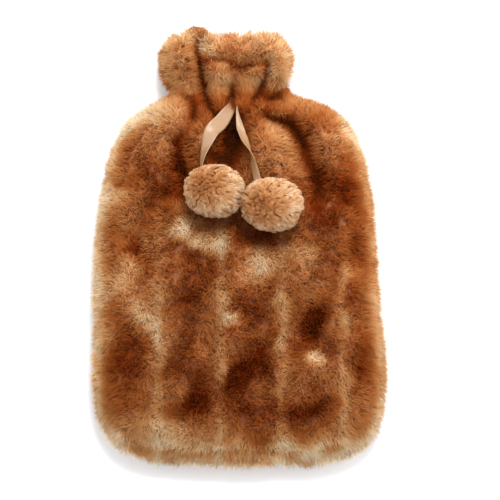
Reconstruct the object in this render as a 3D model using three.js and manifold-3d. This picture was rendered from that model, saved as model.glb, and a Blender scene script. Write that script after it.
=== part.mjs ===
// A hot water bottle cover of long-pile fur cloth, lying on its back.
// Two panels, each cut in one piece from the bottom seam to the top hem, are sewn down both sides and
// along the bottom. They leave a bag that is open at the neck, where a satin ribbon gathers it under a
// ruffled collar. The ribbon's two tails end in pompoms that rest on the front.
// Millimetres: X across the bag, Y towards the collar, Z up from the surface that it lies on.
import * as THREE from 'three';
import { mergeVertices } from 'three/addons/utils/BufferGeometryUtils.js';
import Module from 'manifold-3d';

const wasm = await Module();
wasm.setup();

// Heights of the bag and the thickness of its cloth, backing and pile together.
const seamHeight = 20;
const seamGap = 0.4;
const frontWall = 11;
const backWall = 10;
const neckWall = 7.5;
const sideWall = 10;
const frontEdgeRadius = 33;
const backEdgeRadius = 24;
const neckEdgeRadius = 21;
const crownRise = 6;
const crownHalfWidth = 125;
const crownHalfLength = 190;
const crownMiddle = -40;
const leastHollow = 3;
const foldInPile = 0.4;
const cornerShare = 0.7;
const hemRadius = 8;
const hemDrop = 4;

// The ribbon and the neck that it gathers.
const tieAlong = 133;
const ribbonWidth = 12.5;
const ribbonThickness = 0.9;
const bandWidth = 6;
const clearance = 0.6;
const neckStart = 88;
const neckEnd = 122;

// The pompoms.
const pompomCore = 0.72;
const lockTaper = 0.42;
const lockLean = 0.16;
const locksPerPompom = 144;

// The outline at the seam, from the corners of the bottom to the corners of the mouth.
const outlineRows = [
  { along: -161, left: -105, right: 108 },
  { along: -150, left: -113, right: 115 },
  { along: -139, left: -118, right: 118 },
  { along: -125, left: -121, right: 120.5 },
  { along: -103, left: -122, right: 122 },
  { along: -60, left: -121.5, right: 118.5 },
  { along: -7, left: -121, right: 114.5 },
  { along: 35, left: -118, right: 112.5 },
  { along: 68, left: -112, right: 107 },
  { along: 93, left: -105, right: 101 },
  { along: 107, left: -96, right: 91.5 },
  { along: 117, left: -85.5, right: 82 },
  { along: 123, left: -74.5, right: 70.5 },
  { along: 128, left: -61, right: 50 },
  { along: 133, left: -57, right: 40 },
  { along: 140, left: -61.5, right: 40.5 },
  { along: 150, left: -66, right: 43.5 },
  { along: 161, left: -67.5, right: 45 },
  { along: 169, left: -67.5, right: 44 },
  { along: 174, left: -65, right: 42 },
];
const outlineStart = -161;
const outlineEnd = 174;

// How far the bottom seam drops below the line that joins its two corners.
const bottomRows = [
  { across: -105, drop: 0 },
  { across: -95, drop: 8.5 },
  { across: -80, drop: 14 },
  { across: -58, drop: 17.5 },
  { across: -30, drop: 19.5 },
  { across: 0, drop: 20.5 },
  { across: 20, drop: 20 },
  { across: 34, drop: 18 },
  { across: 50, drop: 20 },
  { across: 70, drop: 17.5 },
  { across: 86, drop: 14 },
  { across: 98, drop: 9 },
  { across: 108, drop: 0 },
];
const bottomFade = 61;

// How far the hem of the mouth stands above the line that joins its two corners.
const mouthRows = [
  { across: -65, rise: 0 },
  { across: -57, rise: 5.5 },
  { across: -48, rise: 8.5 },
  { across: -37, rise: 11 },
  { across: -28, rise: 8.5 },
  { across: -17, rise: 7.5 },
  { across: -5, rise: 8.5 },
  { across: 12, rise: 10 },
  { across: 26, rise: 8.5 },
  { across: 35, rise: 7 },
  { across: 42, rise: 1 },
];
const mouthFade = 34;

// The height of the front above the seam, and how far the back is held off the surface.
const heightRows = [
  { along: -190, front: 26, lift: 0 },
  { along: -120, front: 27, lift: 0 },
  { along: 60, front: 27, lift: 0 },
  { along: 95, front: 24, lift: 0 },
  { along: 117, front: 20, lift: 1.5 },
  { along: 132, front: 17, lift: 4.5 },
  { along: 144, front: 21, lift: 1.5 },
  { along: 156, front: 25, lift: 0 },
  { along: 172, front: 23, lift: 0 },
  { along: 190, front: 20, lift: 0 },
];

// The folds of the front, each a soft trough (rise below 0) or ridge along a straight run.
const foldRows = [
  { fold: 'collar crease', x1: -36, y1: 178, x2: -31, y2: 122, halfWidth: 4.5, rise: -14 },
  { fold: 'crease foot', x1: -31, y1: 122, x2: -24, y2: 106, halfWidth: 4.5, rise: -6 },
  { fold: 'pleat beside the middle', x1: -8, y1: 143, x2: -5, y2: 127, halfWidth: 4, rise: -7 },
  { fold: 'pleat on the right', x1: 24, y1: 152, x2: 12, y2: 128, halfWidth: 4.5, rise: -8 },
  { fold: 'pleat at the edge', x1: 33, y1: 140, x2: 26, y2: 124, halfWidth: 4, rise: -5 },
  { fold: 'ridge at the edge', x1: 34, y1: 158, x2: 31, y2: 142, halfWidth: 6, rise: 3.5 },
  { fold: 'roll of the collar', x1: -26, y1: 157, x2: 27, y2: 157, halfWidth: 4.5, rise: -4 },
  { fold: 'left lobe', x1: -53, y1: 170, x2: -52, y2: 140, halfWidth: 9, rise: 3 },
  { fold: 'pleat into the body', x1: -29, y1: 127, x2: -22, y2: 104, halfWidth: 6, rise: 5 },
  { fold: 'left of the neck', x1: -42, y1: 124, x2: -39, y2: 104, halfWidth: 6.5, rise: -3.5 },
  { fold: 'right fold, top', x1: 24, y1: 106, x2: 44, y2: 101, halfWidth: 6.5, rise: -8 },
  { fold: 'right fold, middle', x1: 44, y1: 101, x2: 53, y2: 84, halfWidth: 8, rise: -10 },
  { fold: 'right fold, foot', x1: 53, y1: 84, x2: 65, y2: 46, halfWidth: 9, rise: -8 },
  { fold: 'valley of the tails', x1: -5, y1: 104, x2: -9, y2: 62, halfWidth: 11, rise: -9 },
  { fold: 'swell under the neck', x1: 17, y1: 104, x2: 33, y2: 58, halfWidth: 17, rise: 6 },
  { fold: 'hollow on the left', x1: -47, y1: 72, x2: -49, y2: 46, halfWidth: 12, rise: -5 },
  { fold: 'shoulder swell, left', x1: -84, y1: 92, x2: -60, y2: 108, halfWidth: 15, rise: 2.5 },
  { fold: 'shoulder swell, right', x1: 62, y1: 108, x2: 86, y2: 88, halfWidth: 13, rise: 3 },
  { fold: 'dent under left pompom', x1: -22, y1: 38, x2: -20, y2: 38, halfWidth: 17, rise: -6 },
  { fold: 'dent under right pompom', x1: 25, y1: 27, x2: 27, y2: 27, halfWidth: 18, rise: -6 },
  { fold: 'dip between the pompoms', x1: -2, y1: 18, x2: 4, y2: 12, halfWidth: 12, rise: -5 },
  { fold: 'sag on the left', x1: -92, y1: 4, x2: -86, y2: -2, halfWidth: 14, rise: -3 },
  { fold: 'sag low on the left', x1: -30, y1: -116, x2: 0, y2: -118, halfWidth: 16, rise: -3 },
  { fold: 'sag low on the right', x1: 52, y1: -60, x2: 66, y2: -84, halfWidth: 14, rise: -4 },
];

// Shallow channels in the pile that run the length of the body.
const channelPitch = 50.5;
const channelCount = 4;
const firstChannel = -66.5;
const channelHalfWidth = 5;
const channelDepth = 1.6;
const channelTop = 60;
const channelFade = 40;

// The tufts of the pile: waves along the outline, and lumps over the front that cross at a slant.
const edgeWaves = [
  { height: 0.7, perLength: 0.31, start: 0 },
  { height: 0.5, perLength: 0.173, start: 2 },
];
const lumpWaves = [
  { height: 1, across: 0.24, along: -0.11, start: 1 },
  { height: 0.8, across: 0.11, along: -0.13, start: 4 },
  { height: 0.8, across: 0.14, along: 0.23, start: 2.4 },
];

// Two pompoms, flattened a little where they lie.
const pompomRows = [
  { side: 'left', x: -20.5, y: 40, radiusX: 25.5, radiusY: 23, radiusZ: 21, seed: 3 },
  { side: 'right', x: 25.5, y: 28.5, radiusX: 26.5, radiusY: 24, radiusZ: 22, seed: 11 },
];

// Stations of the two tails: place, width as a share of the ribbon's, and turn about their own line.
const leftTail = [
  { x: -3.5, y: 132, over: 0, width: 0.5, turn: 4 },
  { x: -6, y: 120, over: 1, width: 0.8, turn: 8 },
  { x: -13, y: 107, over: 1.5, width: 1, turn: 12 },
  { x: -20.5, y: 95, over: 1.5, width: 1, turn: 10 },
  { x: -27, y: 83, over: 1.5, width: 1, turn: 24 },
  { x: -30.5, y: 72, over: 2, width: 0.8, turn: 42 },
  { x: -31, y: 62.5, over: 3, width: 0.5, turn: 58 },
];
const rightTail = [
  { x: -2.5, y: 132, over: 0, width: 0.4, turn: -10 },
  { x: -1.5, y: 119, over: 1, width: 0.9, turn: -48 },
  { x: 1.5, y: 105, over: 1.5, width: 1, turn: -58 },
  { x: 5, y: 93, over: 2, width: 1, turn: -62 },
  { x: 9, y: 81, over: 2, width: 0.9, turn: -78 },
  { x: 11.5, y: 71, over: 2, width: 0.8, turn: -100 },
  { x: 13, y: 62, over: 2, width: 0.7, turn: -122 },
  { x: 14.5, y: 53.5, over: 3, width: 0.6, turn: -130 },
];
const stationsPerStep = 3;

// How many steps a panel has across, and in each stretch along its length.
const acrossSteps = { front: 34, back: 22 };
const alongBands = {
  front: [
    { to: -153, steps: 2 },
    { to: -130, steps: 4 },
    { to: -100, steps: 3 },
    { to: 40, steps: 13 },
    { to: 100, steps: 8 },
    { to: 134, steps: 8 },
    { to: 174, steps: 9 },
  ],
  back: [
    { to: -150, steps: 3 },
    { to: -100, steps: 4 },
    { to: 85, steps: 9 },
    { to: 134, steps: 9 },
    { to: 174, steps: 6 },
  ],
};
const evenShare = 0.4;
const reliefEdge = 14;

const furColour = 0xb5793f;
const backColour = 0xa86f3a;
const ribbonColour = 0xdcbc94;
const pompomColour = 0xcc9a63;

// A smooth curve through one column of a table, read at any place along another column.
function columnCurve(rows, placeColumn, valueColumn) {
  const place = rows.map((row) => row[placeColumn]);
  const value = rows.map((row) => row[valueColumn]);
  const last = rows.length - 1;
  const slope = value.map((_, i) => {
    const before = Math.max(i - 1, 0);
    const after = Math.min(i + 1, last);
    return (value[after] - value[before]) / (place[after] - place[before]);
  });
  return (at) => {
    const clamped = THREE.MathUtils.clamp(at, place[0], place[last]);
    let i = 0;
    while (i < last - 1 && clamped > place[i + 1]) i += 1;
    const span = place[i + 1] - place[i];
    const u = (clamped - place[i]) / span;
    const uu = u * u;
    const uuu = uu * u;
    return (
      (2 * uuu - 3 * uu + 1) * value[i] +
      (uuu - 2 * uu + u) * span * slope[i] +
      (3 * uu - 2 * uuu) * value[i + 1] +
      (uuu - uu) * span * slope[i + 1]
    );
  };
}

const leftCurve = columnCurve(outlineRows, 'along', 'left');
const rightCurve = columnCurve(outlineRows, 'along', 'right');
const bottomDrop = columnCurve(bottomRows, 'across', 'drop');
const mouthRise = columnCurve(mouthRows, 'across', 'rise');
const frontHeight = columnCurve(heightRows, 'along', 'front');
const liftCurve = columnCurve(heightRows, 'along', 'lift');
const backLift = (along) => Math.max(0, liftCurve(along));

// The tufted edge of the pile, a millimetre in and out, and not the same on both sides.
const sideShift = 40;
const tuftWave = (along) =>
  edgeWaves.reduce((sum, wave) => sum + wave.height * Math.sin(along * wave.perLength + wave.start), 0);
const leftEdge = (along) => leftCurve(along) - tuftWave(along);
const rightEdge = (along) => rightCurve(along) + tuftWave(along + sideShift);

// The left and right edges moved inwards by a wall, as a disc of that radius rolled along them.
function insetEdges(along, wall) {
  let left = -Infinity;
  let right = Infinity;
  for (let step = -wall; step <= wall; step += 1) {
    const reach = Math.sqrt(wall * wall - step * step);
    const near = THREE.MathUtils.clamp(along + step, outlineStart, outlineEnd);
    left = Math.max(left, leftEdge(near) + reach);
    right = Math.min(right, rightEdge(near) - reach);
  }
  return { left, right };
}

// A quarter of a circle, from 0 at the edge to 1 at one radius in.
function quarter(distance, radius) {
  const inwards = THREE.MathUtils.clamp(distance / radius, 0, 1);
  return Math.sqrt(1 - (1 - inwards) ** 2);
}

const bottomShare = (along) => Math.max(0, (outlineStart + bottomFade - along) / bottomFade) ** 2;
const mouthShare = (along) => Math.max(0, (along - outlineEnd + mouthFade) / mouthFade) ** 2;

// The y of a row of the panel at a place across it, bent by the bottom seam and by the mouth. The
// inner face keeps off the bottom seam by its wall, and takes the share of that which its corner has
// on a slant.
function rowPoint(along, across, wall) {
  const atMiddle = bottomDrop(across) / bottomDrop(0);
  const inwards = wall * THREE.MathUtils.lerp(cornerShare, 1, atMiddle);
  const bottom = bottomShare(along) * (inwards - bottomDrop(across));
  return along + bottom + mouthShare(along) * mouthRise(across);
}

// The outline of the three sewn sides, for the distance of any point from the seam. It runs on past
// the mouth, which is not sewn.
const seamLine = [];
const seamStep = 3;
const seamEnd = outlineEnd + 24;
for (let along = seamEnd; along > outlineStart; along -= seamStep)
  seamLine.push([leftEdge(along), along]);
for (let across = leftEdge(outlineStart); across < rightEdge(outlineStart); across += seamStep)
  seamLine.push([across, outlineStart - bottomDrop(across)]);
for (let along = outlineStart; along < seamEnd; along += seamStep)
  seamLine.push([rightEdge(along), along]);

function distanceToRun(x, y, x1, y1, x2, y2) {
  const runX = x2 - x1;
  const runY = y2 - y1;
  const share = ((x - x1) * runX + (y - y1) * runY) / (runX * runX + runY * runY);
  const t = THREE.MathUtils.clamp(share, 0, 1);
  return Math.hypot(x - x1 - t * runX, y - y1 - t * runY);
}

function distanceToSeam(x, y) {
  let nearest = Infinity;
  for (let i = 1; i < seamLine.length; i += 1)
    nearest = Math.min(nearest, distanceToRun(x, y, ...seamLine[i - 1], ...seamLine[i]));
  return nearest;
}

const isNeck = (y) => THREE.MathUtils.smoothstep(y, neckStart, neckEnd);
const edgeRadius = (y, body) => THREE.MathUtils.lerp(body, neckEdgeRadius, isNeck(y));
const wallAt = (y, body) => THREE.MathUtils.lerp(body, neckWall, isNeck(y));

// Tufts of pile, uneven and about 30 mm apart.
const pileLumps = (x, y) =>
  lumpWaves.reduce(
    (sum, wave) => sum + wave.height * Math.sin(x * wave.across + y * wave.along + wave.start),
    0,
  );

function channelRelief(x, y) {
  const open = 1 - THREE.MathUtils.smoothstep(y, channelTop - channelFade, channelTop);
  const place = (x - firstChannel) / channelPitch;
  const nearest = THREE.MathUtils.clamp(Math.round(place), 0, channelCount - 1);
  const off = (place - nearest) * channelPitch;
  return -channelDepth * open * Math.exp(-((off / channelHalfWidth) ** 2));
}

// The deepest trough and the tallest ridge at a point, added.
function foldRelief(x, y) {
  let trough = 0;
  let ridge = 0;
  for (const row of foldRows) {
    const off = distanceToRun(x, y, row.x1, row.y1, row.x2, row.y2) / row.halfWidth;
    const rise = row.rise * Math.exp(-off * off);
    trough = Math.min(trough, rise);
    ridge = Math.max(ridge, rise);
  }
  return trough + ridge;
}

function crown(x, y) {
  const round = 1 - (x / crownHalfWidth) ** 2 - ((y - crownMiddle) / crownHalfLength) ** 2;
  return crownRise * Math.max(0, round) * (1 - isNeck(y));
}

const reliefFade = (distance) => THREE.MathUtils.smoothstep(distance, 0, reliefEdge);

// The front's outer and inner faces, and the back's.
function frontOuter(x, y, distance) {
  const round = quarter(distance, edgeRadius(y, frontEdgeRadius));
  const relief = foldRelief(x, y) + channelRelief(x, y) + pileLumps(x, y);
  const hemAlong = outlineEnd + mouthRise(x);
  const hem = hemDrop * (1 - quarter(hemAlong - y, hemRadius));
  return seamHeight + (frontHeight(y) + crown(x, y) - hem) * round + relief * reliefFade(distance);
}

// Inside, a fold is shallower, because the pile takes up the first part of it.
function frontInner(x, y, distance) {
  const radius = edgeRadius(y, frontEdgeRadius) - sideWall;
  const inside = distance - sideWall;
  const wall = wallAt(y, frontWall);
  const height = frontHeight(y) + crown(x, y) - wall;
  const relief = Math.max(Math.min(foldRelief(x, y) + foldInPile * wall, 0), leastHollow - height);
  return seamHeight + (height + relief * reliefFade(inside)) * quarter(inside, radius);
}

function backOuter(x, y, distance) {
  const round = quarter(distance, edgeRadius(y, backEdgeRadius));
  return THREE.MathUtils.lerp(seamHeight, backLift(y), round);
}

function backInner(x, y, distance) {
  const radius = edgeRadius(y, backEdgeRadius) - sideWall;
  const floor = backLift(y) + wallAt(y, backWall);
  return THREE.MathUtils.lerp(seamHeight, floor, quarter(distance - sideWall, radius));
}

function alongStations(bands) {
  const stations = [outlineStart];
  let from = outlineStart;
  for (const band of bands) {
    for (let i = 1; i <= band.steps; i += 1)
      stations.push(from + ((band.to - from) * i) / band.steps);
    from = band.to;
  }
  return stations;
}

// Places across a row, from 0 to 1, closer together near both edges.
function acrossShare(i, steps) {
  const even = i / steps;
  const round = 0.5 - 0.5 * Math.cos(Math.PI * even);
  return THREE.MathUtils.lerp(round, even, evenShare);
}

// One closed panel: an outer and an inner face over the same grid, joined round all four edges.
function panelGeometry(stations, steps, outer, inner, seam, facesUp) {
  const rows = stations.length;
  const columns = steps + 1;
  const positions = [];
  const addFace = (wall, height) => {
    for (const [row, along] of stations.entries()) {
      const { left, right } = insetEdges(along + bottomShare(along) * wall * cornerShare, wall);
      for (let i = 0; i < columns; i += 1) {
        const x = THREE.MathUtils.lerp(left, right, acrossShare(i, steps));
        const y = rowPoint(along, x, wall);
        const sewn = row === 0 || i === 0 || i === columns - 1;
        positions.push(x, y, sewn ? seam : height(x, y, distanceToSeam(x, y)));
      }
    }
  };
  addFace(0, outer);
  addFace(sideWall, inner);

  const outerAt = (row, i) => row * columns + i;
  const innerAt = (row, i) => rows * columns + row * columns + i;
  const faces = [];
  const addQuad = (a, b, c, d) => faces.push(a, b, c, a, c, d);
  for (let row = 0; row < rows - 1; row += 1)
    for (let i = 0; i < steps; i += 1) {
      addQuad(outerAt(row, i), outerAt(row, i + 1), outerAt(row + 1, i + 1), outerAt(row + 1, i));
      addQuad(innerAt(row, i), innerAt(row + 1, i), innerAt(row + 1, i + 1), innerAt(row, i + 1));
    }
  for (let row = 0; row < rows - 1; row += 1) {
    addQuad(outerAt(row, 0), outerAt(row + 1, 0), innerAt(row + 1, 0), innerAt(row, 0));
    addQuad(outerAt(row, steps), innerAt(row, steps), innerAt(row + 1, steps), outerAt(row + 1, steps));
  }
  for (let i = 0; i < steps; i += 1) {
    addQuad(outerAt(0, i), innerAt(0, i), innerAt(0, i + 1), outerAt(0, i + 1));
    addQuad(outerAt(rows - 1, i), outerAt(rows - 1, i + 1), innerAt(rows - 1, i + 1), innerAt(rows - 1, i));
  }
  if (!facesUp) faces.reverse();

  const geometry = new THREE.BufferGeometry();
  geometry.setAttribute('position', new THREE.Float32BufferAttribute(positions, 3));
  geometry.setIndex(faces);
  geometry.computeVertexNormals();
  return geometry;
}

function frontPanelGeometry() {
  const seam = seamHeight + seamGap / 2;
  const outer = (x, y, distance) => Math.max(seam, frontOuter(x, y, distance));
  const inner = (x, y, distance) => Math.max(seam, frontInner(x, y, distance));
  return panelGeometry(alongStations(alongBands.front), acrossSteps.front, outer, inner, seam, true);
}

function backPanelGeometry() {
  const seam = seamHeight - seamGap / 2;
  const outer = (x, y, distance) => Math.min(seam, backOuter(x, y, distance));
  const inner = (x, y, distance) => Math.min(seam, backInner(x, y, distance));
  return panelGeometry(alongStations(alongBands.back), acrossSteps.back, outer, inner, seam, false);
}

// A closed solid through rings of points, all with the same number of points, capped at both ends
// unless the last ring joins the first.
function ringSolid(rings, closed) {
  const count = rings[0].length;
  const positions = rings.flat().flatMap((point) => [point.x, point.y, point.z]);
  const faces = [];
  const joints = closed ? rings.length : rings.length - 1;
  for (let ring = 0; ring < joints; ring += 1) {
    const next = (ring + 1) % rings.length;
    for (let i = 0; i < count; i += 1) {
      const a = ring * count + i;
      const b = ring * count + ((i + 1) % count);
      const c = next * count + ((i + 1) % count);
      const d = next * count + i;
      faces.push(a, b, c, a, c, d);
    }
  }
  if (!closed)
    for (let i = 1; i < count - 1; i += 1) {
      const end = (rings.length - 1) * count;
      faces.push(0, i + 1, i, end, end + i, end + i + 1);
    }
  const geometry = new THREE.BufferGeometry();
  geometry.setAttribute('position', new THREE.Float32BufferAttribute(positions, 3));
  geometry.setIndex(faces);
  return geometry;
}

function manifoldOf(geometry) {
  const merged = mergeVertices(geometry);
  const mesh = new wasm.Mesh({
    numProp: 3,
    vertProperties: new Float32Array(merged.attributes.position.array),
    triVerts: new Uint32Array(merged.index.array),
  });
  return new wasm.Manifold(mesh);
}

function geometryOf(manifold) {
  const mesh = manifold.getMesh();
  const geometry = new THREE.BufferGeometry();
  geometry.setAttribute('position', new THREE.BufferAttribute(mesh.vertProperties, 3));
  geometry.setIndex(new THREE.BufferAttribute(mesh.triVerts, 1));
  geometry.computeVertexNormals();
  return geometry;
}

// The neck under the band, seen along Y, as points that the band has to go round.
function neckSection() {
  const section = [];
  const acrossCount = 40;
  for (const share of [-0.5, -0.25, 0, 0.25, 0.5]) {
    const along = tieAlong + share * (bandWidth + 1);
    for (let i = 0; i <= acrossCount; i += 1) {
      const x = THREE.MathUtils.lerp(leftEdge(along), rightEdge(along), i / acrossCount);
      const distance = distanceToSeam(x, along);
      section.push([x, frontOuter(x, along, distance)], [x, backOuter(x, along, distance)]);
    }
  }
  return section;
}

// The taut line round that section at a given distance: where its supporting lines cross.
const bandSides = 48;
function tautLine(section, off) {
  const lines = [];
  for (let i = 0; i < bandSides; i += 1) {
    const angle = (2 * Math.PI * i) / bandSides;
    const reach = Math.max(...section.map(([x, z]) => x * Math.cos(angle) + z * Math.sin(angle)));
    lines.push({ angle, reach: reach + off });
  }
  return lines.map((line, i) => {
    const next = lines[(i + 1) % bandSides];
    const turn = Math.sin(next.angle - line.angle);
    return {
      x: (line.reach * Math.sin(next.angle) - next.reach * Math.sin(line.angle)) / turn,
      z: (next.reach * Math.cos(line.angle) - line.reach * Math.cos(next.angle)) / turn,
    };
  });
}

// The band of the ribbon, gathered narrow, round the outside of the neck.
function bandGeometry(innerLine, outerLine) {
  const rings = innerLine.map((near, i) => {
    const far = outerLine[i];
    const low = tieAlong - bandWidth / 2;
    const high = tieAlong + bandWidth / 2;
    return [
      new THREE.Vector3(near.x, low, near.z),
      new THREE.Vector3(far.x, low, far.z),
      new THREE.Vector3(far.x, high, far.z),
      new THREE.Vector3(near.x, high, near.z),
    ];
  });
  return ringSolid(rings, true);
}

// The height of the band's front at a place across it.
function bandHeight(line, x) {
  let height = -Infinity;
  line.forEach((start, i) => {
    const end = line[(i + 1) % line.length];
    if ((start.x - x) * (end.x - x) > 0) return;
    height = Math.max(height, THREE.MathUtils.mapLinear(x, start.x, end.x, start.z, end.z));
  });
  return height;
}

// One tail of the ribbon: a flat strip that turns about its own line as it runs from the band to its
// pompom, and clears the front by at least the stated gap.
function tailGeometry(stations, bandLine, frontAt) {
  const halfThickness = ribbonThickness / 2;
  const corners = [[-1, -1], [1, -1], [1, 1], [-1, 1]];
  const plan = new THREE.CatmullRomCurve3(stations.map((row) => new THREE.Vector3(row.x, row.y, 0)));
  const column = (name) => stations.map((row) => row[name]);
  const steps = (stations.length - 1) * stationsPerStep;
  const sections = [];
  for (let i = 0; i <= steps; i += 1) {
    const share = i / steps;
    const before = Math.min(Math.floor(share * (stations.length - 1)), stations.length - 2);
    const between = share * (stations.length - 1) - before;
    const read = (name) =>
      THREE.MathUtils.lerp(column(name)[before], column(name)[before + 1], between);
    const ahead = plan.getTangent(share);
    const side = new THREE.Vector3(0, 0, 1).cross(ahead).normalize();
    side.applyAxisAngle(ahead, THREE.MathUtils.degToRad(read('turn')));
    const face = new THREE.Vector3().crossVectors(ahead, side);
    const halfWidth = (read('width') * ribbonWidth) / 2;
    const ring = corners.map(([across, through]) =>
      plan
        .getPoint(share)
        .addScaledVector(side, across * halfWidth)
        .addScaledVector(face, through * halfThickness),
    );
    const clear = Math.max(...ring.map((point) => frontAt(point.x, point.y) + clearance - point.z));
    sections.push({ ring, height: clear + read('over') });
  }
  sections[0].height = bandHeight(bandLine, stations[0].x) - halfThickness;
  const smooth = sections.map((section, i) => {
    const near = sections.slice(Math.max(i - 1, 0), i + 2).map((other) => other.height);
    return i === 0 ? section.height : Math.max(section.height, near.reduce((a, b) => a + b) / near.length);
  });
  const rings = sections.map((section, i) =>
    section.ring.map((point) => point.clone().setZ(point.z + smooth[i])),
  );
  return ringSolid(rings, false);
}

function ribbonGeometry(frontAt) {
  const section = neckSection();
  const innerLine = tautLine(section, clearance);
  const outerLine = tautLine(section, clearance + ribbonThickness);
  const band = manifoldOf(bandGeometry(innerLine, outerLine));
  const tails = [leftTail, rightTail].map((stations) =>
    manifoldOf(tailGeometry(stations, outerLine, frontAt)),
  );
  return geometryOf(tails.reduce((whole, tail) => whole.add(tail), band));
}

// A repeatable number between 0 and 1 for each lock.
function spread(seed, i) {
  const wave = Math.sin(seed * 12.9898 + i * 78.233) * 43758.5453;
  return wave - Math.floor(wave);
}

// The direction from one pompom to the other, and how far this one reaches before it meets it.
function contactOf(row, other) {
  const away = new THREE.Vector3(other.x - row.x, other.y - row.y, 0);
  const share = row.radiusX / (row.radiusX + other.radiusX);
  return { direction: away.clone().normalize(), reach: away.length() * share - clearance / 2 };
}

// A pompom: three-sided locks that stand apart on a round core, on most faces of a ball of triangles.
// Its locks are pressed short where they meet the other pompom.
function pompomGeometry(row, contact) {
  const ball = new THREE.IcosahedronGeometry(1, 2).attributes.position;
  const radii = new THREE.Vector3(row.radiusX, row.radiusY, row.radiusZ);
  const triangles = [];
  const faceCount = ball.count / 3;
  for (let face = 0; face < faceCount; face += 1) {
    const corners = [0, 1, 2].map((k) => new THREE.Vector3().fromBufferAttribute(ball, face * 3 + k));
    const middle = corners[0].clone().add(corners[1]).add(corners[2]).normalize();
    const root = corners.map((corner) => corner.clone().multiplyScalar(pompomCore));
    const bare = (face * 5) % faceCount >= locksPerPompom;
    if (bare) {
      triangles.push(root);
      continue;
    }
    const lean = new THREE.Vector3(spread(row.seed, face), spread(row.seed, face + 200), 0);
    const length = 0.93 + 0.07 * spread(row.seed, face + 400);
    const tip = corners.map((corner) =>
      corner
        .clone()
        .lerp(middle, lockTaper)
        .addScaledVector(lean.clone().subScalar(0.5).setZ(0), lockLean)
        .normalize()
        .multiplyScalar(length),
    );
    for (let k = 0; k < 3; k += 1) {
      const next = (k + 1) % 3;
      triangles.push([root[k], root[next], tip[next]]);
      triangles.push([root[k], tip[next], tip[k]]);
    }
    triangles.push(tip);
  }
  const points = triangles.flat().map((corner) => {
    const point = corner.clone().multiply(radii);
    const towards = point.dot(contact.direction);
    return towards > contact.reach ? point.multiplyScalar(contact.reach / towards) : point;
  });
  const geometry = new THREE.BufferGeometry().setFromPoints(points);
  geometry.computeVertexNormals();
  return geometry;
}

// The height at which a pompom just clears the front below it.
function restingHeight(geometry, row, frontAt) {
  const place = geometry.attributes.position;
  const point = new THREE.Vector3();
  let height = 0;
  for (let i = 0; i < place.count; i += 1) {
    point.fromBufferAttribute(place, i);
    if (point.z > 0) continue;
    height = Math.max(height, frontAt(row.x + point.x, row.y + point.y) + clearance - point.z);
  }
  return height;
}

const object = new THREE.Group();

function addPiece(name, geometry, colour, roughness) {
  const material = new THREE.MeshStandardMaterial({ color: colour, roughness, metalness: 0 });
  const piece = new THREE.Mesh(geometry, material);
  piece.name = name;
  object.add(piece);
  return piece;
}

const front = addPiece('front_panel', frontPanelGeometry(), furColour, 0.95);
addPiece('back_panel', backPanelGeometry(), backColour, 0.95);

// The top of the front panel at any point of the plan, for what lies on it.
const probe = new THREE.Raycaster();
const probeHeight = 200;
const frontAt = (x, y) => {
  probe.set(new THREE.Vector3(x, y, probeHeight), new THREE.Vector3(0, 0, -1));
  const hits = probe.intersectObject(front);
  return hits.length ? hits[0].point.z : 0;
};

addPiece('ribbon_tie', ribbonGeometry(frontAt), ribbonColour, 0.4);
for (const [i, row] of pompomRows.entries()) {
  const geometry = pompomGeometry(row, contactOf(row, pompomRows[1 - i]));
  const pompom = addPiece(`pompom_${row.side}`, geometry, pompomColour, 0.9);
  pompom.position.set(row.x, row.y, restingHeight(geometry, row, frontAt));
}

// The origin is under the middle of the whole, on the surface that it lies on.
const middle = new THREE.Box3().setFromObject(object).getCenter(new THREE.Vector3());
object.position.set(-middle.x, -middle.y, 0);

export default object;
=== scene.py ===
import math

import bpy
import numpy as np
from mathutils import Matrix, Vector
from mathutils.bvhtree import BVHTree
from mathutils.kdtree import KDTree


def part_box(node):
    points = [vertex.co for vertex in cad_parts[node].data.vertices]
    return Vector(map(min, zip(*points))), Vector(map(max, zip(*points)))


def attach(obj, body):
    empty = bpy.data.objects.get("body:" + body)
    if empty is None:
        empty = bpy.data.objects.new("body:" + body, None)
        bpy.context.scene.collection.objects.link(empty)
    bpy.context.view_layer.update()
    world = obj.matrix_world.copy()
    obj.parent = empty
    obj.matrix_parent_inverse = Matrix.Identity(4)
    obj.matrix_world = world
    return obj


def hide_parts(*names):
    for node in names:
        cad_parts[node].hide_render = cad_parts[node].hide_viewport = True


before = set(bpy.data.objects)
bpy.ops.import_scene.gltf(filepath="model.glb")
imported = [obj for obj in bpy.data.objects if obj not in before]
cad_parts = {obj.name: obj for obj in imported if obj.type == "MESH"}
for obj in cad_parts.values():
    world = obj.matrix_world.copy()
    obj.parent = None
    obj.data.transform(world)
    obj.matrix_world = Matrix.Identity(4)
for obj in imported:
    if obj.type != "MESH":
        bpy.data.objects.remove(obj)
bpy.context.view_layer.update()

# A fur hot water bottle cover that lies on its back: two panels of long-pile cloth, a satin ribbon
# round the gathered neck and two pompoms. Metres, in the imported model's frame. Tables are in
# millimetres, in the same frame, and MM turns them into metres.
MM = 0.001
RNG = np.random.default_rng(643)

# ---------------------------------------------------------------------------------------------
# Camera, floor and lights
# ---------------------------------------------------------------------------------------------
ELEVATION = math.radians(80)
CAMERA_DISTANCE = 2.0
CLIP_END = 20
SENSOR = 36.0
VIEW_WIDTH = 0.415
AIM = Vector((8.8 * MM, -3.8 * MM, 30 * MM))
FLOOR_REACH = 6.0
FLOOR_WHITE = (0.93, 0.93, 0.945, 1)
FLOOR_ROUGHNESS = 0.9
STUDIO_WHITE = (0.97, 0.985, 1.0, 1)
STUDIO_STRENGTH = 1.15

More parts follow.
